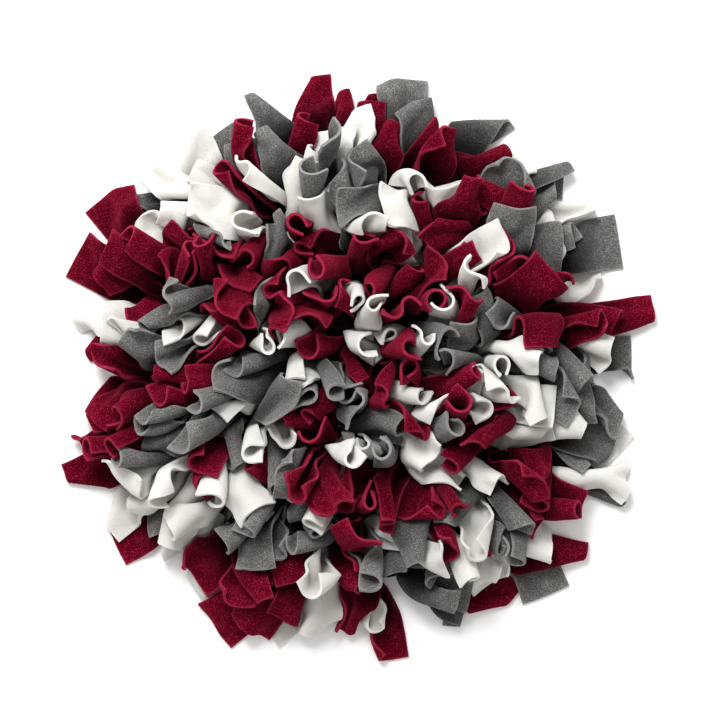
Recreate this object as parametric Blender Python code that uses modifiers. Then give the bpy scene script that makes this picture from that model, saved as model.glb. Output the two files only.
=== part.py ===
"""A round snuffle mat: fleece strips tied in rings to a flat backing disc, at real size.

Metres, +Z up.  The origin is the centre of the disc's underside, on the surface that the mat lies on.
Each strip's free tail is a tab.  A tab is pinched at its root and opens upwards into a cup, a trough, a
fold, a zigzag, a flap or a roll.  Tabs of one colour that grow side by side are fused at their roots to
one web of narrow root strips, and that web with its tabs is one solid.
"""

import math
import random
from collections import deque
from typing import NamedTuple

import bmesh
import bpy
from mathutils import Vector

# Driving dimensions
FLEECE_THICKNESS = 0.002
STRIP_WIDTH = 0.034
BACKING_RADIUS = 0.150
BACKING_THICKNESS = 0.003
SEAT_GAP = 0.0003

# Root strips lie on the backing and carry the tabs
ROOT_STRIP_WIDTH = 0.009
ROOT_STRIP_HEIGHT = 0.003
ROOT_STRIP_END_GAP = 0.0012
WIDE_WEDGE = math.radians(15.0)
LINK_WIDTH = 0.005
LINK_HEIGHT = 0.002
LINK_LIFT = 0.0004

# Room that a tab keeps to the edge of its own cell, measured from the middle of the fleece
CELL_MARGIN = 0.0020
MOST_STRAY = 0.34
LEAST_RADIUS = 0.005

# Tabs whose roots are nearer than this across two rings may share a root web
LINK_REACH = 0.018
MOST_TABS_IN_WEB = 24

ROOT_HEIGHT = BACKING_THICKNESS + SEAT_GAP + 0.6 * ROOT_STRIP_HEIGHT
FLOOR_LEVEL = 0.5 * FLEECE_THICKNESS + 0.00005
SEED = 11
TINY = 1e-6
WELD_DISTANCE = 1e-5


class Ring(NamedTuple):
    """One ring of tabs: where a tab's middle runs, as (radius, height) from root to tip."""

    phase: float
    middle: tuple
    forms: str
    colours: str


# B burgundy, G grey, W white: one letter for each tab, counterclockwise from +X
RINGS = (
    Ring(
        0.0,
        ((0.010, ROOT_HEIGHT), (0.012, 0.038), (0.014, 0.072)),
        "inner",
        "BBGG",
    ),
    Ring(
        0.5,
        ((0.028, ROOT_HEIGHT), (0.033, 0.038), (0.040, 0.073)),
        "inner",
        "BWBWWBGBW",
    ),
    Ring(
        0.0,
        ((0.046, ROOT_HEIGHT), (0.054, 0.038), (0.065, 0.073)),
        "inner",
        "WGBBWBBGGWBWWWB",
    ),
    Ring(
        0.5,
        ((0.064, ROOT_HEIGHT), (0.075, 0.038), (0.089, 0.071)),
        "inner",
        "GWBBBBBGWBBWWGWWBWGWW",
    ),
    Ring(
        0.0,
        ((0.082, ROOT_HEIGHT), (0.096, 0.037), (0.113, 0.068)),
        "inner",
        "WGGWWWGWBBBWGBGBBGBGBGBBBB",
    ),
    Ring(
        0.5,
        ((0.100, ROOT_HEIGHT), (0.116, 0.036), (0.136, 0.064)),
        "outer",
        "GGBBBWGGGWWBBGBBGGWGGGGBWBBGWWW",
    ),
    Ring(
        0.0,
        ((0.117, ROOT_HEIGHT), (0.135, 0.034), (0.158, 0.057)),
        "outer",
        "GGBGGWBWBGGBWBBBWBBGWWGBBBWWWGGBBW",
    ),
    Ring(
        0.5,
        ((0.131, ROOT_HEIGHT), (0.149, 0.027), (0.178, 0.043)),
        "outer",
        "GBWBGWBBBWBBWWWBWBBBBWGBBBWBGWWBGBGG",
    ),
    Ring(
        0.0,
        ((0.143, ROOT_HEIGHT), (0.159, 0.0105), (0.178, FLOOR_LEVEL), (0.199, FLOOR_LEVEL)),
        "floor",
        "GBWGWGGGBBGGWGBBBWBBWBWWBWBGBBGWGW",
    ),
)


class Form(NamedTuple):
    """A tab's cross section: the heading in degrees and the share of the width of each flat panel."""

    headings: tuple
    shares: tuple


FORMS = {
    "cup": Form((-72, 0, 72), (0.36, 0.28, 0.36)),
    "trough": Form((-42, 0, 42), (0.33, 0.34, 0.33)),
    "fold": Form((-80, 0, 80), (0.43, 0.14, 0.43)),
    "zigzag": Form((-48, 48, -48), (0.34, 0.32, 0.34)),
    "flap": Form((-12, 12), (0.48, 0.52)),
    "leaf": Form((-36, 36), (0.55, 0.45)),
    "roll": Form((-126, -42, 42, 126), (0.25, 0.25, 0.25, 0.25)),
    "lying": Form((0,), (1.0,)),
}
FORM_CHOICES = {
    "inner": ("cup", "trough", "fold", "zigzag", "roll", "cup", "trough"),
    "outer": ("cup", "trough", "fold", "zigzag", "leaf", "flap", "cup"),
    "floor": ("lying",),
}
# How far a tab has opened at its root, at its knee and above: share of the strip's width, share of its fold
OPENING = ((0.30, 0.25), (0.88, 0.75), (1.0, 1.0))
# Degrees by which a tab faces away from outwards, and by which it twists between rows
TURN_RANGE = {"inner": 180.0, "outer": 180.0, "floor": 0.0}
TWIST_RANGE = {"inner": 24.0, "outer": 24.0, "floor": 0.0}
# The last stretch's length as a share of the ring's own, and how far its cut end runs askew
REACH_RANGE = (0.86, 1.03)
MOST_SLANT = 0.16

COLOUR_NAMES = {"B": "burgundy", "G": "grey", "W": "white"}
FINISHES = {
    "burgundy": (0.26, 0.008, 0.035, 1.0),
    "grey": (0.16, 0.16, 0.165, 1.0),
    "white": (0.80, 0.79, 0.76, 1.0),
    "backing": (0.02, 0.02, 0.022, 1.0),
}


def clear_scene():
    for old in list(bpy.data.objects):
        bpy.data.objects.remove(old, do_unlink=True)


def new_collection(name):
    collection = bpy.data.collections.new(name)
    bpy.context.scene.collection.children.link(collection)
    return collection


def fleece_material(name, colour):
    material = bpy.data.materials.new(name)
    material.use_nodes = True
    shader = material.node_tree.nodes["Principled BSDF"]
    shader.inputs["Base Color"].default_value = colour
    shader.inputs["Roughness"].default_value = 0.95
    shader.inputs["Metallic"].default_value = 0.0
    return material


def add_object(name, bm, collection):
    mesh = bpy.data.meshes.new(name)
    bm.to_mesh(mesh)
    bm.free()
    obj = bpy.data.objects.new(name, mesh)
    collection.objects.link(obj)
    return obj


def hide_helper(obj):
    obj.hide_render = True
    obj.display_type = "WIRE"


def add_thickness(obj, thickness, offset):
    solidify = obj.modifiers.new("thickness", "SOLIDIFY")
    solidify.thickness = thickness
    solidify.offset = offset
    solidify.use_even_offset = True


def join(obj, helper, name):
    union = obj.modifiers.new(name, "BOOLEAN")
    union.operation = "UNION"
    union.solver = "EXACT"
    union.use_self = True
    union.object = helper
    hide_helper(helper)


# Layout: a tab is (ring, place), and its cell is a wedge of its ring


def tab_angle(tab):
    ring, place = tab
    return math.tau * (place + RINGS[ring].phase) / len(RINGS[ring].colours)


def half_wedge(ring):
    return math.pi / len(RINGS[ring].colours)


def cell_side(ring, place, height_share):
    """The angle of the wall between one tab and the next.  The walls stray from even spacing with height."""
    count = len(RINGS[ring].colours)
    stray = random.Random(ring * 100 + place % count).uniform(-MOST_STRAY, MOST_STRAY)
    return tab_angle((ring, place)) + half_wedge(ring) * (1.0 + stray * height_share)


def cell(tab, height_share):
    """The middle angle and half the angle of a tab's cell, at a share of the way from root to tip."""
    ring, place = tab
    start = cell_side(ring, place - 1, height_share)
    end = cell_side(ring, place, height_share)
    return 0.5 * (start + end), 0.5 * (end - start)


def root_radius(ring):
    return RINGS[ring].middle[0][0]


def tab_colour(tab):
    return COLOUR_NAMES[RINGS[tab[0]].colours[tab[1]]]


def angle_between(a, b):
    return abs((a - b + math.pi) % math.tau - math.pi)


def root_distance(tab, other):
    """How far apart two roots lie around the axis, on the mean radius of their rings."""
    radius = 0.5 * (root_radius(tab[0]) + root_radius(other[0]))
    return angle_between(tab_angle(tab), tab_angle(other)) * radius


def all_tabs():
    return [(ring, place) for ring, row in enumerate(RINGS) for place in range(len(row.colours))]


def neighbours(tab):
    """The tabs beside this one in its ring, then those next to it in the rings inside and outside."""
    ring, place = tab
    count = len(RINGS[ring].colours)
    found = [(ring, (place + 1) % count), (ring, (place - 1) % count)]
    for other in (ring - 1, ring + 1):
        if not 0 <= other < len(RINGS):
            continue
        others = [(other, far_place) for far_place in range(len(RINGS[other].colours))]
        found += [far for far in others if root_distance(tab, far) < LINK_REACH]
    return found


def grow_webs():
    """Groups neighbouring tabs of one colour into webs, each a list of its tabs."""
    webs = []
    taken = set()
    for first in all_tabs():
        if first in taken:
            continue
        taken.add(first)
        tabs = [first]
        waiting = deque(tabs)
        while waiting:
            for other in neighbours(waiting.popleft()):
                if other in taken or tab_colour(other) != tab_colour(first) or len(tabs) >= MOST_TABS_IN_WEB:
                    continue
                taken.add(other)
                tabs.append(other)
                waiting.append(other)
        webs.append(tabs)
    return webs


def links_needed(tabs):
    """The fewest pairs of tabs in neighbouring rings that tie a web's separate root strips together."""
    group = {tab: tab for tab in tabs}

    def head(tab):
        while group[tab] != tab:
            tab = group[tab]
        return tab

    pairs = [(tab, other) for tab in tabs for other in neighbours(tab) if other in group]
    for tab, other in pairs:
        if tab[0] == other[0]:
            group[head(tab)] = head(other)
    links = []
    for tab, other in sorted(pairs, key=lambda pair: root_distance(*pair)):
        if head(tab) != head(other):
            group[head(tab)] = head(other)
            links.append((tab, other))
    return links


# Root webs


def polar(radius, angle, height):
    return Vector((radius * math.cos(angle), radius * math.sin(angle), height))


def add_root_strip(bm, tab, joined_before, joined_after):
    """The stretch of root strip under one tab.  A side that meets a tab of the same web runs on to it."""
    ring = tab[0]
    radius = root_radius(ring)
    ends = []
    for side, joined in ((-1, joined_before), (1, joined_after)):
        inset = 0.0 if joined else ROOT_STRIP_END_GAP / radius
        ends.append(tab_angle(tab) + side * (half_wedge(ring) - inset))
    segments = 2 if half_wedge(ring) > WIDE_WEDGE else 1
    grid = bmesh.ops.create_grid(bm, x_segments=segments, y_segments=1, size=1.0)
    for vert in grid["verts"]:
        share = 0.5 * (vert.co.x + 1.0)
        angle = ends[0] + share * (ends[1] - ends[0])
        vert.co = polar(radius - 0.5 * ROOT_STRIP_WIDTH * vert.co.y, angle, BACKING_THICKNESS + SEAT_GAP)


def add_link(bm, tab, other):
    """A flat bar on the backing between the roots of two tabs in neighbouring rings."""
    height = BACKING_THICKNESS + SEAT_GAP + LINK_LIFT
    start = polar(root_radius(tab[0]), tab_angle(tab), height)
    end = polar(root_radius(other[0]), tab_angle(other), height)
    along = end - start
    across = Vector((-along.y, along.x, 0.0)).normalized() * (0.5 * LINK_WIDTH)
    grid = bmesh.ops.create_grid(bm, x_segments=1, y_segments=1, size=1.0)
    for vert in grid["verts"]:
        vert.co = start + along * (0.5 * (vert.co.x + 1.0)) + across * vert.co.y


# Tabs


def distance_to_line(point, line):
    """The least distance in the (radius, height) plane from a point to an open line of points."""
    best = math.inf
    for start, end in zip(line, line[1:]):
        start = Vector(start)
        along = Vector(end) - start
        share = max(0.0, min(1.0, (point - start).dot(along) / along.length_squared))
        best = min(best, (point - start - along * share).length)
    return best


def side_room(ring, row):
    """How far a tab may reach from its middle at this row, away from the axis and towards it."""
    point = Vector(RINGS[ring].middle[row])
    room = []
    for other in (ring + 1, ring - 1):
        if 0 <= other < len(RINGS):
            room.append(0.5 * distance_to_line(point, RINGS[other].middle) - CELL_MARGIN)
        else:
            room.append(point.x - LEAST_RADIUS if other < 0 else TINY)
    return room


def cross_section(form, width, bend, turn):
    """Points across a strip that is folded along its length, turned, and centred on its own box."""
    points = [Vector((0.0, 0.0))]
    for heading, share in zip(form.headings, form.shares):
        angle = math.radians(heading * bend + turn)
        points.append(points[-1] + Vector((math.cos(angle), math.sin(angle))) * (width * share))
    middle = Vector(
        [0.5 * (min(p[axis] for p in points) + max(p[axis] for p in points)) for axis in (0, 1)]
    )
    return [point - middle for point in points]


def add_tab(bm, tab):
    """One open sheet from its pinched root to its square-cut tip, inside the tab's own cell."""
    ring, place = tab
    draw = random.Random(SEED + 1000 * ring + place)
    row_count = len(RINGS[ring].middle)
    kind = RINGS[ring].forms
    form = FORMS[draw.choice(FORM_CHOICES[kind])]
    turn = draw.uniform(-TURN_RANGE[kind], TURN_RANGE[kind])
    twist = draw.uniform(-0.5, 0.5) * TWIST_RANGE[kind]
    reach = draw.uniform(*REACH_RANGE)
    slant = draw.uniform(-MOST_SLANT, MOST_SLANT)
    panels = len(form.headings)
    grid = bmesh.ops.create_grid(bm, x_segments=panels, y_segments=row_count - 1, size=1.0)
    for vert in grid["verts"]:
        column = round(0.5 * (vert.co.x + 1.0) * panels)
        row = round(0.5 * (vert.co.y + 1.0) * (row_count - 1))
        vert.co = tab_point(tab, form, row, column, turn + twist * row, reach, slant)


def tab_point(tab, form, row, column, turn, reach, slant):
    """The place of one point of a tab, by its row from the root and its column across."""
    ring = tab[0]
    line = [Vector(point) for point in RINGS[ring].middle]
    here = line[row]
    along = (line[min(row + 1, len(line) - 1)] - line[max(row - 1, 0)]).normalized()
    outward = Vector((1.0, 0.0)) if row == 0 else Vector((along.y, -along.x))
    width_share, bend = OPENING[min(row, len(OPENING) - 1)]
    section = cross_section(form, STRIP_WIDTH * width_share, bend, turn)
    half = Vector([max(abs(p[axis]) for p in section) for axis in (0, 1)])
    room_out, room_in = side_room(ring, row)
    depth = min(1.0, (room_out + room_in) / max(2.0 * half.y, TINY))
    centre = min(max(0.0, half.y * depth - room_in), room_out - half.y * depth)
    middle_angle, half_angle = cell(tab, row / (len(line) - 1))
    if row == len(line) - 1:
        here = line[row - 1] + (here - line[row - 1]) * (reach + slant * section[column].x / STRIP_WIDTH)
    place = here + outward * (section[column].y * depth + centre)
    radius = max(place.x, LEAST_RADIUS)
    most = min(half.x / line[row].x, half_angle - CELL_MARGIN / radius)
    swing = most * section[column].x / max(half.x, TINY)
    return polar(radius, middle_angle + swing, place.y)


def build_web(name, tabs, parts, helpers):
    """One web of root strips with its tabs: a single closed solid."""
    strips = bmesh.new()
    sheets = bmesh.new()
    bars = bmesh.new()
    for tab in tabs:
        ring, place = tab
        count = len(RINGS[ring].colours)
        add_root_strip(strips, tab, (ring, (place - 1) % count) in tabs, (ring, (place + 1) % count) in tabs)
        add_tab(sheets, tab)
    bmesh.ops.remove_doubles(strips, verts=strips.verts, dist=WELD_DISTANCE)
    for tab, other in links_needed(tabs):
        add_link(bars, tab, other)
    web = add_object(name, strips, parts)
    add_thickness(web, ROOT_STRIP_HEIGHT, 1.0)
    if bars.faces:
        link_helper = add_object(name + "_links", bars, helpers)
        add_thickness(link_helper, LINK_HEIGHT, 1.0)
        join(web, link_helper, "links")
    else:
        bars.free()
    sheet_helper = add_object(name + "_tabs", sheets, helpers)
    add_thickness(sheet_helper, FLEECE_THICKNESS, 0.0)
    join(web, sheet_helper, "tabs")
    return web


def build_backing(parts):
    bpy.ops.mesh.primitive_cylinder_add(
        vertices=72,
        radius=BACKING_RADIUS,
        depth=BACKING_THICKNESS,
        location=(0.0, 0.0, 0.5 * BACKING_THICKNESS),
    )
    backing = bpy.context.object
    backing.name = "backing"
    for collection in list(backing.users_collection):
        collection.objects.unlink(backing)
    parts.objects.link(backing)
    return backing


def main():
    clear_scene()
    parts = new_collection("snuffle_mat")
    helpers = new_collection("cutters")
    materials = {name: fleece_material(name, colour) for name, colour in FINISHES.items()}
    build_backing(parts).data.materials.append(materials["backing"])
    made = dict.fromkeys(COLOUR_NAMES.values(), 0)
    for tabs in grow_webs():
        colour = tab_colour(tabs[0])
        made[colour] += 1
        web = build_web(f"{colour}_{made[colour]:02d}", tabs, parts, helpers)
        web.data.materials.append(materials[colour])


main()
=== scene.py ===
"""Dresses a round snuffle mat: fleece strips tied in rings to a flat backing disc.

The fleece tabs of the frame are plain folded solids.  Here each one is a fine cloth grid that
starts as a narrow strip in its own cell, grows to its full width and settles against its
neighbours, so that the tabs crowd, fold and lean over each other.  Then each grid gets its
thickness, its cut edges and its nap.
"""

import logging
import math
import random
from collections import deque
from collections.abc import Sequence
from dataclasses import dataclass, field
from enum import Enum

import bmesh
import bpy
import numpy as np
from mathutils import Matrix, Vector


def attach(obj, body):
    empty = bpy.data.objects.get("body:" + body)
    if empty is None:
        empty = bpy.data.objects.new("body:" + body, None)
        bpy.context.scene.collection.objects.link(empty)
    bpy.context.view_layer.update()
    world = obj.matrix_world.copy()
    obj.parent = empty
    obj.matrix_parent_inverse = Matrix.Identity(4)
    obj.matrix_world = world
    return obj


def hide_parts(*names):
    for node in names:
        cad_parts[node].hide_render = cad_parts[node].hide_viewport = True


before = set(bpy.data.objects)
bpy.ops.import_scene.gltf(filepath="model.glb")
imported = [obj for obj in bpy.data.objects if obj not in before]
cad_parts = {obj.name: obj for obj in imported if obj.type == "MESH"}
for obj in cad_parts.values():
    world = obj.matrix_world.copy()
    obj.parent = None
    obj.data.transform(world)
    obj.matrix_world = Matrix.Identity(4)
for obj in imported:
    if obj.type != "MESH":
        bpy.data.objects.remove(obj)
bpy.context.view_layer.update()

log = logging.getLogger("snuffle_mat")

# Lengths are in metres
FLEECE_THICKNESS = 0.0019
STRIP_WIDTH = 0.034
BACKING_RADIUS = 0.150
BACKING_THICKNESS = 0.003
SEAT_GAP = 0.0003
# The lowest that the middle of the fleece lies on the backing, and on the floor
SEAT_LEVEL = BACKING_THICKNESS + SEAT_GAP + 0.5 * FLEECE_THICKNESS
FLOOR_LEVEL = 0.00105
# The height at which a tab's planned middle line starts
ROOT_HEIGHT = 0.0051
# The bands of fleece under the roots and between them: their width, and their faces lengthwise
ROOT_STRIP_WIDTH = 0.009
BAND_STEPS = 3
# How long the band is under the first tail of a strip, and under the second
FIRST_FOOT = 0.0126
SECOND_FOOT = 0.006
# How near the roots of two rings are that the frame joins, and the most tabs that a node has
LINK_REACH = 0.018
MOST_TABS_IN_WEB = 24
# What the seed of a tail's draws is made of, besides its place in its ring
LAYOUT_SEED = 11
RING_STEP = 1000
TWIN_STEP = 500
REDRAW_STEP = 10000
STEPS_PER_SPAN = 24
TINY = 1e-9

# A tab's ring and its place in the ring
Tab = tuple[int, int]
Point = tuple[float, float, float]
Colour = tuple[float, float, float]


class Fleece(Enum):
    """The three fleeces, by the letter that stands for each in the rings."""

    BURGUNDY = "B"
    GREY = "G"
    WHITE = "W"

    @property
    def word(self) -> str:
        """The colour's name in lower case, as in the frame's node names."""
        return self.name.lower()


class Zone(Enum):
    """Where on the mat a ring of tabs grows."""

    INNER = "inner"
    OUTER = "outer"
    FLOOR = "floor"


@dataclass(frozen=True)
class Form:
    """A tab's cross section, as the heading in degrees and the share of the width of each panel.

    The bend is how many degrees the tab's upper half leans over, and it goes about the width.
    """

    headings: tuple[float, ...]
    shares: tuple[float, ...]
    bend: tuple[float, float]

    def headings_across(self, count: int) -> np.ndarray:
        """The heading of each of the equal steps across the strip, smooth from panel to panel.

        Args:
            count: How many steps lie across the strip.

        Returns:
            The headings in radians.
        """
        ends = np.cumsum((0.0, *self.shares))
        middles = 0.5 * (ends[1:] + ends[:-1])
        steps = (np.arange(count) + 0.5) / count
        return np.radians(np.interp(steps, middles, self.headings))


FORMS = {
    "cup": Form((-76, 0, 76), (0.35, 0.30, 0.35), (5.0, 48.0)),
    "trough": Form((-42, 0, 42), (0.33, 0.34, 0.33), (20.0, 80.0)),
    "fold": Form((-84, 0, 84), (0.44, 0.12, 0.44), (8.0, 62.0)),
    "zigzag": Form((-72, 72, -72), (0.32, 0.36, 0.32), (5.0, 55.0)),
    "flap": Form((-14, 14), (0.48, 0.52), (25.0, 70.0)),
    "leaf": Form((-38, 38), (0.55, 0.45), (20.0, 60.0)),
    "roll": Form((-125, -42, 42, 125), (0.25, 0.25, 0.25, 0.25), (0.0, 30.0)),
}


@dataclass(frozen=True)
class Habit:
    """How freely the tabs of a zone stray from their ring's middle line.

    Turn, twist and sway are the spread in degrees of the way that a tab faces, of its twist from
    root to tip and of its heading.  Drift is the spread of the slope at which its tip leans aside.
    Bend scales the form's own bend, and length the ring's middle line.  A form that is named twice
    is drawn twice as often.
    """

    turn: float
    twist: float
    sway: float
    drift: float
    bend: float
    length: tuple[float, float]
    forms: tuple[str, ...]


HABITS = {
    Zone.INNER: Habit(
        turn=90.0,
        twist=26.0,
        sway=36.0,
        drift=0.42,
        bend=1.0,
        length=(0.80, 1.16),
        forms=("cup", "trough", "fold", "zigzag", "roll", "cup", "trough"),
    ),
    Zone.OUTER: Habit(
        turn=80.0,
        twist=28.0,
        sway=26.0,
        drift=0.36,
        bend=1.0,
        length=(0.82, 1.12),
        forms=("cup", "trough", "fold", "zigzag", "leaf", "flap", "cup"),
    ),
    Zone.FLOOR: Habit(
        turn=42.0,
        twist=26.0,
        sway=24.0,
        drift=0.16,
        bend=0.8,
        length=(0.98, 1.14),
        forms=("flap", "leaf", "cup", "zigzag", "fold", "trough"),
    ),
}
# The slope at which all tabs lean on the whole, towards +X and towards +Y
COMMON_LEAN = (0.0, -0.12)
# How often a tail, as (ring, place, second tail), is drawn again so as not to grow through others
REDRAWN: dict[tuple[int, int, bool], int] = {
    (1, 2, True): 2, (1, 4, True): 1, (3, 8, True): 1, (3, 14, True): 1, (3, 20, True): 2,
    (4, 6, False): 1, (4, 12, True): 1, (4, 13, False): 1, (4, 18, True): 1, (5, 2, True): 1,
    (5, 3, False): 1, (5, 20, True): 1, (5, 22, True): 1, (5, 25, False): 1, (6, 0, True): 4,
    (6, 18, True): 2, (7, 0, True): 1, (7, 14, True): 1, (7, 24, True): 1, (8, 24, False): 1,
    (8, 30, False): 1, (8, 31, False): 1,
}
# How far a tab's cut end runs aslant at most, as a slope
MOST_SLANT = 0.16
# A tab's width as a share of the strip's, its brightness, and how far out a second tail is set
WIDTH_RANGE = (0.92, 1.24)
SHADE_RANGE = (0.84, 1.08)
SECOND_SHIFT = (0.003, 0.007)
# Where along a tab the painted shade at its root, which stands in for the dark hollows between the
# tabs, begins to fade, and where it is gone
ROOT_SHADE_FADES_FROM, ROOT_SHADE_GONE_AT = 0.34, 1.0
# The angle in degrees above which two faces meet at a cut edge
CUT_ANGLE = 50.0
# The rim's mean radius, and how much of its unevenness each of the outer rings takes
RIM_RADIUS = 0.198
RIM_SHARES = {7: 0.4, 8: 1.0}
# How far the rim reaches every ten degrees counterclockwise from +X
RIM_REACH = (
    *(0.198, 0.199, 0.186, 0.197, 0.199, 0.200, 0.201, 0.194, 0.194, 0.198, 0.197, 0.187),
    *(0.186, 0.188, 0.203, 0.201, 0.198, 0.183, 0.182, 0.203, 0.207, 0.196, 0.200, 0.204),
    *(0.198, 0.200, 0.199, 0.193, 0.202, 0.196, 0.192, 0.209, 0.211, 0.209, 0.205, 0.202),
)


@dataclass(frozen=True)
class Ring:
    """One ring of tabs: where a tab's middle runs, as (radius, height) from root to tip.

    The phase is how far round the first tab stands, in places.  Colours has one letter for each
    tab.  Second has one for each second tail, which grows beside every other tab from the first on.
    """

    phase: float
    middle: tuple[tuple[float, float], ...]
    zone: Zone
    colours: str
    second: str = ""

    @property
    def count(self) -> int:
        """How many tabs the ring has."""
        return len(self.colours)

    def second_letter(self, place: int) -> str:
        """The letter of the second tail at a place, or nothing where there is none."""
        return self.second[place // 2] if self.second and place % 2 == 0 else ""


RINGS = (
    Ring(
        0.0,
        ((0.010, ROOT_HEIGHT), (0.012, 0.038), (0.014, 0.072)),
        Zone.INNER,
        "BBGG",
        "WB",
    ),
    Ring(
        0.5,
        ((0.028, ROOT_HEIGHT), (0.033, 0.038), (0.040, 0.073)),
        Zone.INNER,
        "BWBWWBGBW",
        "WBGGW",
    ),
    Ring(
        0.0,
        ((0.046, ROOT_HEIGHT), (0.054, 0.038), (0.065, 0.073)),
        Zone.INNER,
        "WGBBWBBGGWBWWWB",
        "GBWBGBGB",
    ),
    Ring(
        0.5,
        ((0.064, ROOT_HEIGHT), (0.075, 0.038), (0.089, 0.071)),
        Zone.INNER,
        "GWBBBBBGWBBWWGWWBWGWW",
        "BBBBGGGBBBW",
    ),
    Ring(
        0.0,
        ((0.082, ROOT_HEIGHT), (0.096, 0.037), (0.113, 0.068)),
        Zone.INNER,
        "WGGWWWGWBBBWGBGBBGBGBGBBBB",
        "WWWBBBBGWGBWB",
    ),
    Ring(
        0.5,
        ((0.100, ROOT_HEIGHT), (0.116, 0.036), (0.136, 0.064)),
        Zone.OUTER,
        "GGBBBWGGGWWBBGBBGGWGGGGBWBBGWWW",
        "BBBGWBGGGBGGGWBG",
    ),
    Ring(
        0.0,
        ((0.117, ROOT_HEIGHT), (0.135, 0.034), (0.158, 0.057)),
        Zone.OUTER,
        "GGBGGWBWBGGBWBBBWBBGWWGBBBWWWGGBBW",
        "BBBBWWGBWBWBWGGBG",
    ),
    Ring(
        0.5,
        ((0.131, ROOT_HEIGHT), (0.150, 0.027), (0.183, 0.040)),
        Zone.OUTER,
        "GBWBGWBBBWBBWWWBWBBBBWGBBBWBGWWBGBGG",
        "WGGGBGWBWBWWBWGWBG",
    ),
    Ring(
        0.0,
        ((0.143, ROOT_HEIGHT), (0.160, 0.020), (0.181, 0.019), (0.199, 0.010)),
        Zone.FLOOR,
        "GBWGWGGGBBGGWGBBBWBBWBWWBWBGBBGWGW",
    ),
)


@dataclass(frozen=True)
class TabPlan:
    """How one tab is meant to stand before its neighbours press on it.  Angles are in radians."""

    ring: int
    heading: float
    root_shift: float
    form: Form
    side: float
    turn: float
    twist: float
    sway: float
    drift: tuple[float, float]
    slant: float
    bend: float
    length: float
    width: float
    shade: float

    def root(self) -> np.ndarray:
        """Where the tail's root lies on the backing, half a fleece above it."""
        radius = RINGS[self.ring].middle[0][0] + self.root_shift
        across, up = math.cos(self.heading), math.sin(self.heading)
        return np.array([radius * across, radius * up, SEAT_LEVEL])


@dataclass
class Bunch:
    """The tails of one node of the frame, by the numbers of their plans, and their roots' links."""

    fleece: Fleece
    tails: list[int] = field(default_factory=list)
    links: list[tuple[int, int]] = field(default_factory=list)


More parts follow.
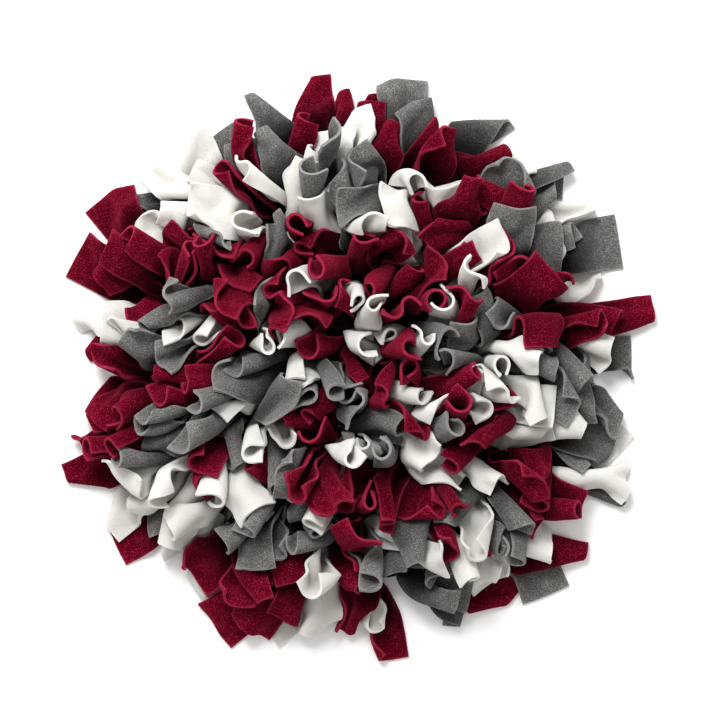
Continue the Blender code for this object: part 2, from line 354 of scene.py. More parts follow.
@dataclass
class Layout:
    """The rings, each tail's plan, and the bunches of one colour that share their roots."""

    plans: list[TabPlan] = field(default_factory=list)
    first_tails: dict[Tab, int] = field(default_factory=dict)
    second_tails: dict[Tab, int] = field(default_factory=dict)
    bunches: list[Bunch] = field(default_factory=list)

    @staticmethod
    def angle(tab: Tab) -> float:
        """The heading of a tab from the mat's middle, in radians."""
        ring = RINGS[tab[0]]
        return math.tau * (tab[1] + ring.phase) / ring.count

    @staticmethod
    def colour(tab: Tab) -> Fleece:
        """The fleece of a tab."""
        return Fleece(RINGS[tab[0]].colours[tab[1]])

    @staticmethod
    def all_tabs() -> list[Tab]:
        """Every tab, ring by ring from the middle."""
        return [(number, place) for number, ring in enumerate(RINGS) for place in range(ring.count)]

    def root_distance(self, tab: Tab, other: Tab) -> float:
        """How far apart two roots lie around the axis, on the mean radius of their rings."""
        radius = 0.5 * (RINGS[tab[0]].middle[0][0] + RINGS[other[0]].middle[0][0])
        apart = (self.angle(tab) - self.angle(other) + math.pi) % math.tau - math.pi
        return abs(apart) * radius

    def neighbours(self, tab: Tab) -> list[Tab]:
        """The tabs beside this one, then those next to it in the rings inside and outside.

        Args:
            tab: The tab whose neighbours are wanted.

        Returns:
            The neighbours, in the order in which a web grows over them.
        """
        number, place = tab
        count = RINGS[number].count
        found = [(number, (place + 1) % count), (number, (place - 1) % count)]
        for other in (number - 1, number + 1):
            if 0 <= other < len(RINGS):
                others = [(other, far_place) for far_place in range(RINGS[other].count)]
                found += [far for far in others if self.root_distance(tab, far) < LINK_REACH]
        return found

    def draw_plans(self) -> None:
        """Draws each tail's form, and how it leans and folds, from a seed of its own."""
        for tab in self.all_tabs():
            self.first_tails[tab] = len(self.plans)
            self.plans.append(self.plan(tab, False))
            if RINGS[tab[0]].second_letter(tab[1]):
                self.second_tails[tab] = len(self.plans)
                self.plans.append(self.plan(tab, True))

    def bunch_up(self) -> None:
        """Groups neighbouring tabs of one colour into bunches, as the frame's nodes hold them."""
        bunch_of: dict[Tab, Bunch] = {}
        for first in self.all_tabs():
            if first in bunch_of:
                continue
            bunch = Bunch(self.colour(first))
            bunch_of[first] = bunch
            waiting = deque([first])
            count = 1
            while waiting:
                tab = waiting.popleft()
                for other in self.neighbours(tab):
                    full = count >= MOST_TABS_IN_WEB
                    if full or other in bunch_of or self.colour(other) != bunch.fleece:
                        continue
                    bunch_of[other] = bunch
                    bunch.links.append((self.first_tails[tab], self.first_tails[other]))
                    waiting.append(other)
                    count += 1
            self.bunches.append(bunch)
        for tab, number in self.first_tails.items():
            bunch_of[tab].tails.append(number)
        for tab, number in self.second_tails.items():
            fleece = Fleece(RINGS[tab[0]].second_letter(tab[1]))
            alike = [other for other in bunch_of if self.colour(other) == fleece]
            nearest = min(alike, key=lambda other: self.root_gap(number, self.first_tails[other]))
            bunch_of[nearest].tails.append(number)

    def root_gap(self, number: int, other: int) -> float:
        """How far apart the roots of two tails lie on the backing."""
        return float(np.linalg.norm(self.plans[number].root() - self.plans[other].root()))

    def plan(self, tab: Tab, twin: bool) -> TabPlan:
        """Draws how one tab leans, folds and reaches.

        A first tail of the middle rings takes the form that it has in the frame.

        Args:
            tab: The ring and the place of the tab.
            twin: Whether it is the second tail of the strip, which grows beside the first.

        Returns:
            The tab's plan.
        """
        ring = RINGS[tab[0]]
        habit = HABITS[ring.zone]
        number = RING_STEP * tab[0] + tab[1]
        again = REDRAWN.get((*tab, twin), 0)
        own = random.Random(number + (TWIN_STEP if twin else 0) + REDRAW_STEP * again)
        frames_own = ring.zone is Zone.INNER and not twin
        drawn = random.Random(LAYOUT_SEED + number) if frames_own else own
        form = FORMS[drawn.choice(habit.forms)]
        heading = self.angle(tab) + (math.pi / ring.count if twin else 0.0)
        length = own.uniform(*habit.length)
        if tab[0] in RIM_SHARES:
            root = ring.middle[0][0]
            farther = (rim_reach(heading) - root) / (RIM_RADIUS - root) - 1.0
            length *= 1.0 + RIM_SHARES[tab[0]] * farther
        drift = tuple(common + own.gauss(0.0, habit.drift) for common in COMMON_LEAN)
        return TabPlan(
            ring=tab[0],
            heading=heading,
            root_shift=own.uniform(*SECOND_SHIFT) if twin else 0.0,
            form=form,
            side=own.choice((-1.0, 1.0)),
            turn=math.radians(own.gauss(0.0, habit.turn)),
            twist=math.radians(own.gauss(0.0, habit.twist)),
            sway=math.radians(own.gauss(0.0, habit.sway)),
            drift=drift,
            slant=own.uniform(-MOST_SLANT, MOST_SLANT),
            bend=math.radians(own.uniform(*form.bend)) * habit.bend,
            length=length,
            width=STRIP_WIDTH * own.uniform(*WIDTH_RANGE),
            shade=own.uniform(*SHADE_RANGE),
        )

    def names(self) -> list[str]:
        """The frame's node name of each bunch, in the order in which the bunches grew."""
        made = dict.fromkeys(Fleece, 0)
        found = []
        for bunch in self.bunches:
            made[bunch.fleece] += 1
            found.append(f"{bunch.fleece.word}_{made[bunch.fleece]:02d}")
        return found


def rim_reach(heading: float) -> float:
    """How far the rim reaches at a heading in radians."""
    at = math.degrees(heading) % 360.0
    return float(np.interp(at, np.arange(0, 361, 10), (*RIM_REACH, RIM_REACH[0])))


def smooth_line(points: Sequence[tuple[float, float]], count: int) -> np.ndarray:
    """A smooth curve through a few points, as evenly spaced points.

    Args:
        points: The (radius, height) points that the curve passes.
        count: How many points to give back.

    Returns:
        An array of count rows with a radius and a height each.
    """
    knots = np.array(points, float)
    padded = np.vstack([2 * knots[0] - knots[1], knots, 2 * knots[-1] - knots[-2]])
    t = np.linspace(0.0, 1.0, STEPS_PER_SPAN)[:, None]
    spans = []
    for start in range(len(knots) - 1):
        a, b, c, d = padded[start : start + 4]
        square, cube = 2 * a - 5 * b + 4 * c - d, 3 * b - a - 3 * c + d
        spans.append(0.5 * (2 * b + (c - a) * t + square * t**2 + cube * t**3))
    line = np.vstack(spans)
    along = np.concatenate([[0.0], np.cumsum(np.linalg.norm(np.diff(line, axis=0), axis=1))])
    at = np.linspace(0.0, along[-1], count)
    return np.stack([np.interp(at, along, line[:, axis]) for axis in (0, 1)], axis=1)


def smooth_step(values: np.ndarray) -> np.ndarray:
    """The values held to 0..1 and eased at both ends."""
    held = np.clip(values, 0.0, 1.0)
    return held * held * (3.0 - 2.0 * held)


# How wide a tab opens and how fully it is curled, at places from its root to its tip
OPENING = ((0.0, 0.08, 0.3, 1.0), (0.30, 0.42, 0.94, 1.0))
CURL = ((0.0, 0.1, 0.4, 1.0), (0.2, 0.3, 0.85, 1.0))
# Where along a tab it begins to lean over
LEAN_FROM = 0.25
# How much of the slant the last rows of a tab take
SLANT_SHARES = (0.25, 0.5, 0.75, 1.0)


@dataclass
class Crowd:
    """All the tabs together, as cloth grids of rows from root to tip and columns across the strip.

    Spacing is how far apart points of different cloth are kept.  Each step of the growth takes some
    passes over the cloth's rules, and the width grows from its first share until the grown share of
    the steps.  The stiffnesses run from 0 to 1 along the threads and from 0 to 0.5 elsewhere.  Two
    points of one tab aren't kept apart within near_rows and near_columns of each other, nor below
    the row free_row.
    """

    layout: Layout
    rows: int = 20
    columns: int = 10
    spacing: float = 0.0034
    steps: int = 170
    passes: int = 5
    first_width: float = 0.34
    grown_at: float = 0.6
    damping: float = 0.82
    gravity: float = 0.00004
    most_move: float = 0.0009
    search_every: int = 4
    search_slack: float = 0.0014
    aslant_stiffness: float = 0.25
    across_stiffness: float = 0.3
    along_stiffness: float = 0.35
    push: float = 0.45
    near_rows: int = 2
    near_columns: int = 3
    free_row: int = 6
    backing_margin: float = 0.001
    points: np.ndarray = field(default_factory=lambda: np.zeros(0))
    rest_across: np.ndarray = field(default_factory=lambda: np.zeros(0))
    rest_along: np.ndarray = field(default_factory=lambda: np.zeros(0))
    bend_across: np.ndarray = field(default_factory=lambda: np.zeros(0))
    bend_along: np.ndarray = field(default_factory=lambda: np.zeros(0))
    loose: np.ndarray = field(default_factory=lambda: np.zeros(0))

    def plant(self) -> None:
        """Sets every tab at its full width in its planned shape, and keeps its rest lengths."""
        full = np.stack([self.planned(plan, 1.0) for plan in self.layout.plans])
        narrow = np.stack([self.planned(plan, self.first_width) for plan in self.layout.plans])
        self.rest_across = np.linalg.norm(full[:, :, 1:] - full[:, :, :-1], axis=-1)
        self.rest_along = np.linalg.norm(full[:, 1:] - full[:, :-1], axis=-1)
        self.bend_across = np.linalg.norm(full[:, :, 2:] - full[:, :, :-2], axis=-1)
        self.bend_along = np.linalg.norm(full[:, 2:] - full[:, :-2], axis=-1)
        middle = self.rest_along.mean(axis=2, keepdims=True)
        self.rest_along = np.broadcast_to(middle, self.rest_along.shape).copy()
        middle = self.bend_along.mean(axis=2, keepdims=True)
        self.bend_along = np.broadcast_to(middle, self.bend_along.shape).copy()
        self.points = narrow
        self.loose = np.ones(narrow.shape[:3])
        self.loose[:, :3] = np.array([0.0, 0.0, 0.5])[:, None]

    def planned(self, plan: TabPlan, share: float) -> np.ndarray:
        """One tab's grid in its planned shape.

        Args:
            plan: How the tab is meant to stand.
            share: The share of its full width that it has.

        Returns:
            An array of rows, columns and three coordinates.
        """
        line = smooth_line(RINGS[plan.ring].middle, self.rows)
        tangent = np.gradient(line, axis=0)
        tangent /= np.linalg.norm(tangent, axis=1)[:, None]
        length = np.linalg.norm(np.diff(line, axis=0), axis=1).sum() * plan.length
        step = length / (self.rows - 1)
        root = np.array([math.cos(plan.heading), math.sin(plan.heading), 0.0])
        root *= line[0, 0] + plan.root_shift
        way = plan.heading + plan.sway
        radial = np.array([math.cos(way), math.sin(way), 0.0])
        side = np.array([-radial[1], radial[0], 0.0])
        up = np.array([0.0, 0.0, 1.0])
        drift = np.array([*plan.drift, 0.0])
        at = np.linspace(0.0, 1.0, self.rows)
        opening = np.interp(at, *OPENING)
        curl = np.interp(at, *CURL)
        lean = plan.bend * smooth_step((at - LEAN_FROM) / (1.0 - LEAN_FROM))
        headings = plan.side * plan.form.headings_across(self.columns - 1)
        across_step = plan.width * share / (self.columns - 1)
        place = root + up * line[0, 1]
        grid = np.empty((self.rows, self.columns, 3))
        for row in range(self.rows):
            forward = radial * tangent[row, 0] + up * tangent[row, 1] + drift * at[row]
            forward /= np.linalg.norm(forward)
            outward = np.cross(side, forward)
            outward /= np.linalg.norm(outward)
            beside = np.cross(forward, outward)
            turn = plan.turn + plan.twist * at[row] * 2.0
            width_way = beside * math.cos(turn) + outward * math.sin(turn)
            normal = outward * math.cos(turn) - beside * math.sin(turn)
            ahead = forward * math.cos(lean[row]) + normal * math.sin(lean[row])
            normal = normal * math.cos(lean[row]) - forward * math.sin(lean[row])
            if row:
                place = place + ahead * step
            bent = headings * curl[row]
            moves = np.outer(np.cos(bent), width_way) + np.outer(np.sin(bent), normal)
            steps = np.cumsum(moves * across_step * opening[row], axis=0)
            section = np.vstack([np.zeros(3), steps])
            grid[row] = place + section - 0.5 * (section.min(0) + section.max(0))
        askew = plan.slant * np.linspace(-0.5, 0.5, self.columns) * plan.width * share
        shares = np.array(SLANT_SHARES)[:, None, None]
        grid[-len(shares) :] += askew[None, :, None] * shares * ahead
        return grid

    def pull(self, first: tuple, second: tuple, rest: np.ndarray, stiffness: float) -> None:
        """Moves two sets of points that share no point towards their rest distance."""
        a, b = self.points[first], self.points[second]
        gap = b - a
        length = np.sqrt(np.einsum("...k,...k->...", gap, gap)) + TINY
        loose_a, loose_b = self.loose[first], self.loose[second]
        share = stiffness * (length - rest) / (length * (loose_a + loose_b + TINY))
        gap *= share[..., None]
        a += gap * loose_a[..., None]
        b -= gap * loose_b[..., None]

    def keep_lengths(self, across: np.ndarray) -> None:
        """One pass over the threads along, across and aslant.

        Args:
            across: The rest length of each step across, at the width that the strips have now.
        """
        for start in (0, 1):
            end = start + 1
            self.pull(np.s_[:, start:-1:2], np.s_[:, end::2], self.rest_along[:, start::2], 1.0)
            self.pull(np.s_[:, :, start:-1:2], np.s_[:, :, end::2], across[:, :, start::2], 1.0)
            middle = 0.5 * (across[:, start:-1:2] + across[:, end::2])
            slant = np.hypot(middle, self.rest_along[:, start::2, 1:])
            stiffness = self.aslant_stiffness
            self.pull(np.s_[:, start:-1:2, :-1], np.s_[:, end::2, 1:], slant, stiffness)
            self.pull(np.s_[:, start:-1:2, 1:], np.s_[:, end::2, :-1], slant, stiffness)

    def keep_bends(self, across: np.ndarray) -> None:
        """One pass over the distances over two steps, which hold the cloth's curves.

        Args:
            across: Rest distances over two steps across, at the width that the strips have now.
        """
        move = np.zeros_like(self.points)
        jobs = (
            (np.s_[:, :, :-2], np.s_[:, :, 2:], across, self.across_stiffness),
            (np.s_[:, :-2], np.s_[:, 2:], self.bend_along, self.along_stiffness),
        )
        for first, second, rest, stiffness in jobs:
            gap = self.points[second] - self.points[first]
            length = np.sqrt(np.einsum("...k,...k->...", gap, gap)) + TINY
            gap *= (0.5 * stiffness * (length - rest) / length)[..., None]
            move[first] += gap
            move[second] -= gap
        self.points += move * self.loose[..., None]

    def near_pairs(self) -> tuple[np.ndarray, np.ndarray]:
        """The pairs of points of different cloth that are near enough to meet soon.

        Returns:
            The flat numbers of the first and the second point of each pair.
        """
        reach = self.spacing + self.search_slack
        flat = self.points.reshape(-1, 3)
        count = len(flat)
        cell = np.floor(flat / reach).astype(np.int64)
        cell -= cell.min(axis=0) - 1
        size = cell.max(axis=0) + 2
        key = cell[:, 0] + size[0] * (cell[:, 1] + size[1] * cell[:, 2])
        order = np.argsort(key, kind="stable")
        ranked = key[order]
        per_tab = self.rows * self.columns
        numbers = np.arange(count)
        tab, row = numbers // per_tab, numbers // self.columns % self.rows
        column = numbers % self.columns
        found = []
        steps = (-1, 0, 1)
        for offset in ((x, y, z) for z in steps for y in steps for x in steps):
            if offset < (0, 0, 0):
                continue
            target = key + offset[0] + size[0] * (offset[1] + size[1] * offset[2])
            low = np.searchsorted(ranked, target, "left")
            many = np.searchsorted(ranked, target, "right") - low
            first = np.repeat(numbers, many)
            within = np.arange(len(first)) - np.repeat(np.cumsum(many) - many, many)
            second = order[np.repeat(low, many) + within]
            gap = flat[second] - flat[first]
            keep = np.einsum("ij,ij->i", gap, gap) < reach * reach
            if offset == (0, 0, 0):
                keep &= first < second
            first, second = first[keep], second[keep]
            same = tab[first] == tab[second]
            beside = abs(row[first] - row[second]) <= self.near_rows
            beside &= abs(column[first] - column[second]) <= self.near_columns
            low_down = np.minimum(row[first], row[second]) < self.free_row
            keep = ~(same & (beside | low_down))
            found.append((first[keep], second[keep]))
        firsts, seconds = zip(*found)
        return np.concatenate(firsts), np.concatenate(seconds)

    def keep_apart(self, first: np.ndarray, second: np.ndarray) -> None:
        """Pushes the points of near pairs apart where they are nearer than the spacing."""
        flat = self.points.reshape(-1, 3)
        gap = flat[second] - flat[first]
        length = np.sqrt(np.einsum("ij,ij->i", gap, gap)) + TINY
        close = length < self.spacing
        first, second, gap, length = first[close], second[close], gap[close], length[close]
        gap *= (self.push * (self.spacing - length) / length)[:, None]
        count = len(flat)
        met = np.bincount(first, minlength=count) + np.bincount(second, minlength=count)
        share = self.loose.reshape(-1) / np.sqrt(np.maximum(met, 1))
        for axis in range(3):
            ahead = np.bincount(second, gap[:, axis], count)
            back = np.bincount(first, gap[:, axis], count)
            flat[:, axis] += (ahead - back) * share

    def stay_on_ground(self) -> None:
        """Keeps the cloth on the floor, or on the backing where it is over it."""
        radius = np.hypot(self.points[..., 0], self.points[..., 1])
        over = radius < BACKING_RADIUS + self.backing_margin
        level = np.where(over, SEAT_LEVEL, FLOOR_LEVEL)
        self.points[..., 2] = np.maximum(self.points[..., 2], level)

    def grow(self, steps: int) -> None:
        """Lets the strips grow to their full width and settle.

        Args:
            steps: How many steps to take.
        """
        speed = np.zeros_like(self.points)
        height = np.linspace(0.0, 1.0, self.rows)[None, :, None]
        first = second = np.zeros(0, np.int64)
        for step in range(steps):
            grown = smooth_step(np.array(step / (self.grown_at * steps)))
            width = self.first_width + (1.0 - self.first_width) * float(grown)
            before = self.points.copy()
            speed[..., 2] -= self.gravity * height * float(grown)
            self.points += speed * self.loose[..., None]
            if step % self.search_every == 0:
                first, second = self.near_pairs()
            for _ in range(self.passes):
                self.keep_bends(self.bend_across * width)
                self.keep_lengths(self.rest_across * width)
                self.keep_apart(first, second)
                self.stay_on_ground()
            move = self.points - before
            far = np.sqrt(np.einsum("...k,...k->...", move, move)) + TINY
            move *= np.minimum(1.0, self.most_move / far)[..., None]
            self.points = before + move
            speed = move * self.damping


@dataclass(frozen=True)
class FleeceFinish:
    """How one fleece looks: its nap in shade, in middling light and where it catches the light.

    Mottle is how far the nap's noise spreads over those colours, and edge how much paler a cut edge
    is.  The root's shade is painted shade: how bright the nap stays at a tab's root, darkened to
    stand in for the dark hollows between the tabs.  Translucence is the share of light that goes
    through the fleece.
    """

    name: str
    dark: Colour
    middle: Colour
    light: Colour
    sheen: float
    sheen_tint: Colour
    mottle: float
    edge: float
    # Painted shade at a tab's root, for the hollows between the tabs
    root_shade: float
    translucence: float = 0.0
    roughness: float = 0.95
    specular: float = 0.02
    sheen_roughness: float = 0.42
    light_reach: float = 0.005
    reach_by_colour: Colour = (1.0, 0.97, 0.9)
    heather_scale: float = 1150.0
    broad_scale: float = 120.0
    broad_share: float = 0.15
    pile_scale: float = 1100.0
    pile_strength: float = 0.8
    pile_height: float = 0.0011
    edge_sharpness: float = 5.0

    def material(self) -> bpy.types.Material:
        """The fleece as a material: heathered nap, paler cut edges, soft sheen and fine pilling."""
        material = bpy.data.materials.new(self.name)
        material.use_nodes = True
        tree = material.node_tree
        shader = tree.nodes["Principled BSDF"]
        shader.inputs["Roughness"].default_value = self.roughness
        shader.inputs["Specular IOR Level"].default_value = self.specular
        shader.inputs["Subsurface Weight"].default_value = self.translucence
        shader.inputs["Subsurface Radius"].default_value = self.reach_by_colour
        shader.inputs["Subsurface Scale"].default_value = self.light_reach
        shader.inputs["Sheen Weight"].default_value = self.sheen
        shader.inputs["Sheen Roughness"].default_value = self.sheen_roughness
        shader.inputs["Sheen Tint"].default_value = (*self.sheen_tint, 1.0)
        place = tree.nodes.new("ShaderNodeTexCoord").outputs["Object"]
        nap = self.nap(tree, place)
        # The shade attribute is each tab's random tone times its painted shade towards the root
        shaded = self.mix(tree, "MULTIPLY", 1.0, nap, self.attribute(tree, "shade"))
        rim = self.math(tree, "POWER", self.attribute(tree, "cut_edge"), self.edge_sharpness)
        paler = self.math(tree, "MULTIPLY", rim, self.edge)
        colour = self.mix(tree, "MIX", paler, shaded, (*self.light, 1.0))
        tree.links.new(colour, shader.inputs["Base Color"])
        pile = self.noise(tree, place, self.pile_scale, 5.0)
        self.raise_pile(tree, pile, self.pile_strength, self.pile_height)
        return material

    def nap(self, tree: bpy.types.NodeTree, place: bpy.types.NodeSocket) -> bpy.types.NodeSocket:
        """The nap's heathered colour at a place, from fine noise with a little broad noise."""
        fine = self.noise(tree, place, self.heather_scale, 3.0)
        fine = self.math(tree, "MULTIPLY", fine, 1.0 - self.broad_share)
        broad = self.noise(tree, place, self.broad_scale, 2.0)
        mixed = self.math(tree, "MULTIPLY_ADD", broad, self.broad_share, fine)
        spread = self.math(tree, "MULTIPLY_ADD", mixed, self.mottle, 0.5 - 0.5 * self.mottle)
        ramp = tree.nodes.new("ShaderNodeValToRGB")
        first, last = ramp.color_ramp.elements
        first.position, first.color = 0.2, (*self.dark, 1.0)
        last.position, last.color = 0.8, (*self.light, 1.0)
        ramp.color_ramp.elements.new(0.5).color = (*self.middle, 1.0)
        tree.links.new(spread, ramp.inputs["Fac"])
        return ramp.outputs["Color"]

    @staticmethod
    def attribute(tree: bpy.types.NodeTree, name: str) -> bpy.types.NodeSocket:
        """The value of one of the mesh's attributes."""
        node = tree.nodes.new("ShaderNodeAttribute")
        node.attribute_name = name
        return node.outputs["Fac"]

    @staticmethod
    def noise(
        tree: bpy.types.NodeTree, place: bpy.types.NodeSocket, scale: float, detail: float
    ) -> bpy.types.NodeSocket:
        """A noise of so many bumps a metre, read at a place."""
        node = tree.nodes.new("ShaderNodeTexNoise")
        node.inputs["Scale"].default_value = scale
        node.inputs["Detail"].default_value = detail
        node.inputs["Roughness"].default_value = 0.6
        tree.links.new(place, node.inputs["Vector"])
        return node.outputs["Fac"]

    @staticmethod
    def raise_pile(
        tree: bpy.types.NodeTree, height: bpy.types.NodeSocket, strength: float, distance: float
    ) -> None:
        """Gives the tree's shader a relief.

        Args:
            tree: The material's nodes.
            height: The relief, from 0 to 1.
            strength: How much of it shows.
            distance: How high it is.
        """
        bump = tree.nodes.new("ShaderNodeBump")
        bump.inputs["Strength"].default_value = strength
        bump.inputs["Distance"].default_value = distance
        tree.links.new(height, bump.inputs["Height"])
        tree.links.new(bump.outputs["Normal"], tree.nodes["Principled BSDF"].inputs["Normal"])

    @staticmethod
    def feed(
        tree: bpy.types.NodeTree,
        inputs: Sequence[bpy.types.NodeSocket],
        values: Sequence["bpy.types.NodeSocket | float | Sequence[float]"],
    ) -> None:
        """Links each input to a socket, or sets it to a value.

        Args:
            tree: The material's nodes.
            inputs: The inputs of a node.
            values: A socket or a value for each.
        """
        for socket, value in zip(inputs, values):
            if isinstance(value, bpy.types.NodeSocket):
                tree.links.new(value, socket)
            else:
                socket.default_value = value

    @staticmethod
    def math(
        tree: bpy.types.NodeTree, operation: str, *values: "bpy.types.NodeSocket | float"
    ) -> bpy.types.NodeSocket:
        """The result of a math node on sockets and numbers."""
        node = tree.nodes.new("ShaderNodeMath")
        node.operation = operation
        FleeceFinish.feed(tree, node.inputs[: len(values)], values)
        return node.outputs[0]

    @staticmethod
    def mix(
        tree: bpy.types.NodeTree,
        blend: str,
        factor: "bpy.types.NodeSocket | float",
        first: bpy.types.NodeSocket,
        second: "bpy.types.NodeSocket | Sequence[float]",
    ) -> bpy.types.NodeSocket:
        """Mixes two colours.

        Args:
            tree: The material's nodes.
            blend: The way in which the second colour goes over the first.
            factor: How much of the second there is.
            first: The first colour.
            second: The second colour.

        Returns:
            The mixed colour.
        """
        node = tree.nodes.new("ShaderNodeMix")
        node.data_type = "RGBA"
        node.blend_type = blend
        colours = [socket for socket in node.inputs if socket.type == "RGBA"]
        FleeceFinish.feed(tree, (node.inputs[0], *colours), (factor, first, second))
        return next(socket for socket in node.outputs if socket.type == "RGBA")


# Each finish's root_shade is the painted shade at its tabs' roots, deepest on burgundy and grey
FINISHES = {
    Fleece.BURGUNDY: FleeceFinish(
        "burgundy_fleece",
        dark=(0.062, 0.0003, 0.005),
        middle=(0.112, 0.0011, 0.012),
        light=(0.48, 0.050, 0.115),
        sheen=0.40,
        sheen_tint=(0.95, 0.10, 0.20),
        mottle=1.15,
        edge=0.4,
        root_shade=0.05,
    ),
    Fleece.GREY: FleeceFinish(
        "grey_heather_fleece",
        dark=(0.075, 0.074, 0.071),
        middle=(0.146, 0.144, 0.139),
        light=(0.34, 0.336, 0.326),
        sheen=0.3,
        sheen_tint=(0.8, 0.8, 0.8),
        mottle=1.6,
        edge=0.5,
        root_shade=0.03,
    ),
    Fleece.WHITE: FleeceFinish(
        "white_fleece",
        dark=(0.635, 0.623, 0.588),
        middle=(0.69, 0.678, 0.643),
        light=(0.735, 0.724, 0.691),
        sheen=0.2,
        sheen_tint=(1.0, 1.0, 0.98),
        mottle=1.0,
        edge=0.5,
        root_shade=0.95,
        translucence=0.6,
    ),
}


@dataclass
class Web:
    """The fleece tails of one node of the frame, as one piece of cloth."""

    node: str
    bunch: Bunch
    crowd: Crowd

    def build(self, material: bpy.types.Material) -> bpy.types.Object:
        """Args:
            material: The fleece's material.

        Returns:
            The finished piece.
        """
        bm = bmesh.new()
        bm.loops.layers.uv.new("strip")
        for _ in self.bunch.tails:
            bmesh.ops.create_grid(
                bm,
                x_segments=self.crowd.columns - 1,
                y_segments=self.crowd.rows - 1,
                size=0.5,
                calc_uvs=True,
            )
        bands = self.root_bands()
        for _ in bands:
            bmesh.ops.create_grid(bm, x_segments=BAND_STEPS, y_segments=1, size=0.5, calc_uvs=True)
        mesh = bpy.data.meshes.new(self.node + "_fleece")
        bm.to_mesh(mesh)
        bm.free()
        tails = self.crowd.points[self.bunch.tails]
        points = np.vstack([tails.reshape(-1, 3), bands.reshape(-1, 3)])
        mesh.vertices.foreach_set("co", points.astype(np.float32).ravel())
        self.mark_edges(mesh)
        self.mark_shades(mesh)
        mesh.polygons.foreach_set("use_smooth", [True] * len(mesh.polygons))
        mesh.materials.append(material)
        piece = bpy.data.objects.new(self.node + "_fleece", mesh)
        bpy.context.scene.collection.objects.link(piece)
        finer = piece.modifiers.new("finer", "SUBSURF")
        finer.levels = finer.render_levels = 1
        finer.boundary_smooth = "PRESERVE_CORNERS"
        thickness = piece.modifiers.new("thickness", "SOLIDIFY")
        thickness.thickness = FLEECE_THICKNESS
        thickness.offset = 0.0
        self.settle_modifiers(piece)
        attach(piece, "root")
        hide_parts(self.node)
        return piece

    @staticmethod
    def settle_modifiers(piece: bpy.types.Object) -> None:
        """Turns the piece's modifiers into its mesh, so that its cut edges can be made sharp."""
        graph = bpy.context.evaluated_depsgraph_get()
        finished = bpy.data.meshes.new_from_object(piece.evaluated_get(graph), depsgraph=graph)
        piece.modifiers.clear()
        piece.data = finished
        finished.set_sharp_from_angle(angle=math.radians(CUT_ANGLE))

    def root_bands(self) -> np.ndarray:
        """The narrow bands of fleece on the backing, one under each root and one along each link.

        Returns:
            An array of bands, two sides, points along and three coordinates.
        """
        plans = self.crowd.layout.plans
        ends = []
        for number in self.bunch.tails:
            middle = plans[number].root()
            reach = SECOND_FOOT if plans[number].root_shift else FIRST_FOOT
            around = np.array([-middle[1], middle[0], 0.0])
            along = 0.5 * reach * around / np.linalg.norm(middle[:2])
            ends.append((middle - along, middle + along))
        ends += [(plans[first].root(), plans[last].root()) for first, last in self.bunch.links]
        bands = []
        for first, last in ends:
            way = (last - first) / np.linalg.norm(last - first)
            half = 0.5 * ROOT_STRIP_WIDTH * np.array([-way[1], way[0], 0.0])
            line = np.linspace(first, last, BAND_STEPS + 1)
            bands.append(np.stack([line - half, line + half]))
        return np.stack(bands)

    def mark_edges(self, mesh: bpy.types.Mesh) -> None:
        """Marks the cut edges with 1 in an attribute, for the paler cut of the fleece."""
        grid = np.zeros((len(self.bunch.tails), self.crowd.rows, self.crowd.columns), np.float32)
        grid[:, :, 0] = grid[:, :, -1] = grid[:, -1] = 1.0
        values = np.zeros(len(mesh.vertices), np.float32)
        values[: grid.size] = grid.ravel()
        mesh.attributes.new("cut_edge", "FLOAT", "POINT").data.foreach_set("value", values)

    def mark_shades(self, mesh: bpy.types.Mesh) -> None:
        """Gives each tab a slight tone of its own, and painted shade darker towards the root."""
        grid = np.ones((len(self.bunch.tails), self.crowd.rows, self.crowd.columns), np.float32)
        root = FINISHES[self.bunch.fleece].root_shade
        # Painted shade: darker towards the root, standing in for the shade deep between the crowded
        # tabs
        at = np.linspace(0.0, 1.0, self.crowd.rows)
        shade_faded = smooth_step((at - ROOT_SHADE_FADES_FROM) / (ROOT_SHADE_GONE_AT - ROOT_SHADE_FADES_FROM))
        depth = root + (1.0 - root) * shade_faded
        for place, number in enumerate(self.bunch.tails):
            grid[place] = self.crowd.layout.plans[number].shade * depth[:, None]
        # The root bands lie in those hollows and take the full painted root shade
        values = np.full(len(mesh.vertices), root, np.float32)
        values[: grid.size] = grid.ravel()
        mesh.attributes.new("shade", "FLOAT", "POINT").data.foreach_set("value", values)


@dataclass(frozen=True)
class BackingFinish:
    """The backing disc's dark felt, whose colour goes from a darker to a paler share of itself."""

    colour: Colour = (0.018, 0.018, 0.02)
    darker: float = 0.6
    paler: float = 1.8
    roughness: float = 0.9
    specular: float = 0.2
    felt_scale: float = 600.0
    felt_strength: float = 0.5
    felt_height: float = 0.0006

    def dress(self, node: bpy.types.Object) -> None:
        """Gives the frame's backing disc a felted, lightly pebbled finish."""
        material = bpy.data.materials.new("backing_felt")
        material.use_nodes = True
        tree = material.node_tree
        shader = tree.nodes["Principled BSDF"]
        shader.inputs["Roughness"].default_value = self.roughness
        shader.inputs["Specular IOR Level"].default_value = self.specular
        place = tree.nodes.new("ShaderNodeTexCoord").outputs["Object"]
        felt = FleeceFinish.noise(tree, place, self.felt_scale, 4.0)
        ramp = tree.nodes.new("ShaderNodeValToRGB")
        for stop, share in zip(ramp.color_ramp.elements, (self.darker, self.paler)):
            stop.color = (*(share * channel for channel in self.colour), 1.0)
        tree.links.new(felt, ramp.inputs["Fac"])
        tree.links.new(ramp.outputs["Color"], shader.inputs["Base Color"])
        FleeceFinish.raise_pile(tree, felt, self.felt_strength, self.felt_height)
        node.data.materials.clear()
        node.data.materials.append(material)


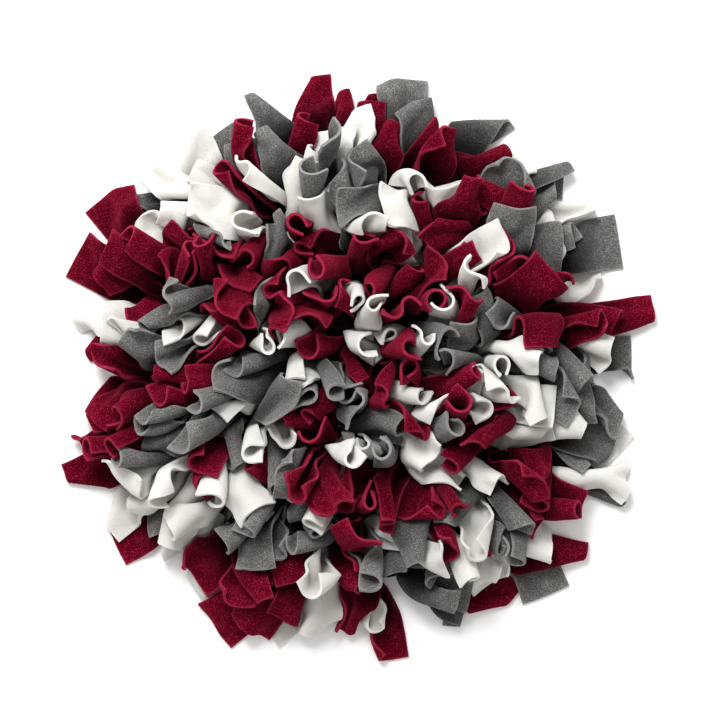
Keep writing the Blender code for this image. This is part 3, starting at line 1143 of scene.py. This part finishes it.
@dataclass
class Studio:
    """The pale floor, the even sky, one soft key light and the camera straight above.

    The camera is framed so that one pixel at the focus height is the pixel's size in metres.
    """

    pixel: float = 0.000684
    frame_width: int = 705
    camera_height: float = 1.45
    focus_height: float = 0.035
    view_centre: tuple[float, float] = (0.0007, 0.0092)
    lens: float = 50.0
    floor_size: float = 3.0
    floor_grey: float = 0.93
    sky_colour: Colour = (1.0, 0.99, 0.97)
    sky_strength: float = 0.67
    key_place: Point = (-0.3, 0.85, 1.1)
    key_size: float = 0.6
    key_power: float = 18.5

    def build(self) -> None:
        """Makes the floor, the sky, the light and the camera."""
        self.floor()
        self.sky()
        self.key_light()
        self.camera()

    def floor(self) -> None:
        """A plain pale floor."""
        bm = bmesh.new()
        bmesh.ops.create_grid(bm, x_segments=1, y_segments=1, size=self.floor_size)
        mesh = bpy.data.meshes.new("floor")
        bm.to_mesh(mesh)
        bm.free()
        floor = bpy.data.objects.new("floor", mesh)
        bpy.context.scene.collection.objects.link(floor)
        material = bpy.data.materials.new("floor")
        material.use_nodes = True
        shader = material.node_tree.nodes["Principled BSDF"]
        shader.inputs["Base Color"].default_value = (*(self.floor_grey,) * 3, 1.0)
        shader.inputs["Roughness"].default_value = 1.0
        shader.inputs["Specular IOR Level"].default_value = 0.0
        mesh.materials.append(material)

    def sky(self) -> None:
        """An even pale sky."""
        world = bpy.data.worlds.new("studio")
        world.use_nodes = True
        background = world.node_tree.nodes["Background"]
        background.inputs["Color"].default_value = (*self.sky_colour, 1.0)
        background.inputs["Strength"].default_value = self.sky_strength
        bpy.context.scene.world = world

    def key_light(self) -> None:
        """One square soft light that looks at the mat's middle."""
        data = bpy.data.lights.new("key", "AREA")
        data.shape = "SQUARE"
        data.size = self.key_size
        data.energy = self.key_power
        light = bpy.data.objects.new("key", data)
        light.location = self.key_place
        light.rotation_euler = (-Vector(self.key_place)).to_track_quat("-Z", "Y").to_euler()
        bpy.context.scene.collection.objects.link(light)

    def camera(self) -> None:
        """The camera straight above, and the view's contrast."""
        data = bpy.data.cameras.new("camera")
        data.lens = self.lens
        distance = self.camera_height - self.focus_height
        data.sensor_fit = "HORIZONTAL"
        data.sensor_width = self.lens * self.pixel * self.frame_width / distance
        camera = bpy.data.objects.new("camera", data)
        camera.location = (*self.view_centre, self.camera_height)
        bpy.context.scene.collection.objects.link(camera)
        bpy.context.scene.camera = camera
        bpy.context.scene.view_settings.view_transform = "Standard"
        bpy.context.scene.view_settings.look = "Medium High Contrast"


def main() -> None:
    """Builds the mat's pieces in order and reports each."""
    logging.basicConfig(level=logging.INFO, format="%(name)s: %(message)s")
    layout = Layout()
    layout.draw_plans()
    layout.bunch_up()
    crowd = Crowd(layout)
    crowd.plant()
    crowd.grow(crowd.steps)
    log.info("%d tails have settled", len(layout.plans))
    materials = {fleece: finish.material() for fleece, finish in FINISHES.items()}
    for node, bunch in zip(layout.names(), layout.bunches):
        piece = Web(node, bunch, crowd).build(materials[bunch.fleece])
        log.info("%s: %d tails", piece.name, len(bunch.tails))
    BackingFinish().dress(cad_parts["backing"])
    Studio().build()


if __name__ == "__main__":
    main()
